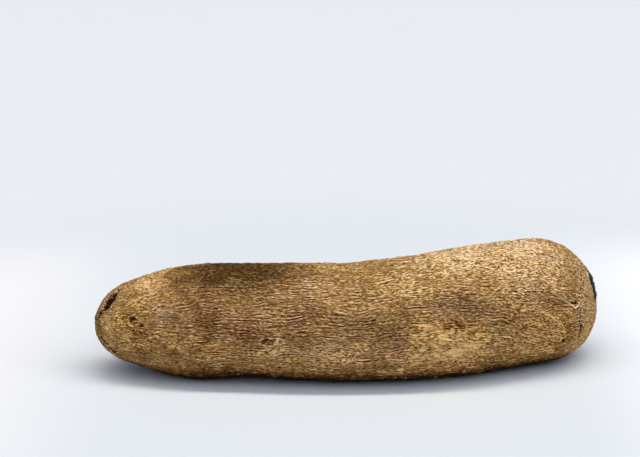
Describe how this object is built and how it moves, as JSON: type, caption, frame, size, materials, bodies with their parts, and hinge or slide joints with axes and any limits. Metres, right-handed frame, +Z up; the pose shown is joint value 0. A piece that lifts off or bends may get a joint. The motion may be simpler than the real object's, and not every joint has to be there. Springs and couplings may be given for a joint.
{
  "type": "yam tuber",
  "caption": "Whole brown-skinned yam tuber, long and gently bent, tapered at its head and blunt at the other end, lying on its side.",
  "frame": {"origin": "bottom centre of the tuber's bounding box, on the surface it rests on", "axes": "+X along the tuber from its tapered head to its blunt end, +Z up, +Y towards its back"},
  "size_m": [0.412, 0.1428, 0.103],
  "materials": {
    "corky_skin": "dry, matt corky skin with fine lengthwise fissures, tan ridges, darker brown grooves and ochre rubbed patches"
  },
  "bodies": {
    "root": {"tuber": "corky_skin"}
  },
  "joints": []
}
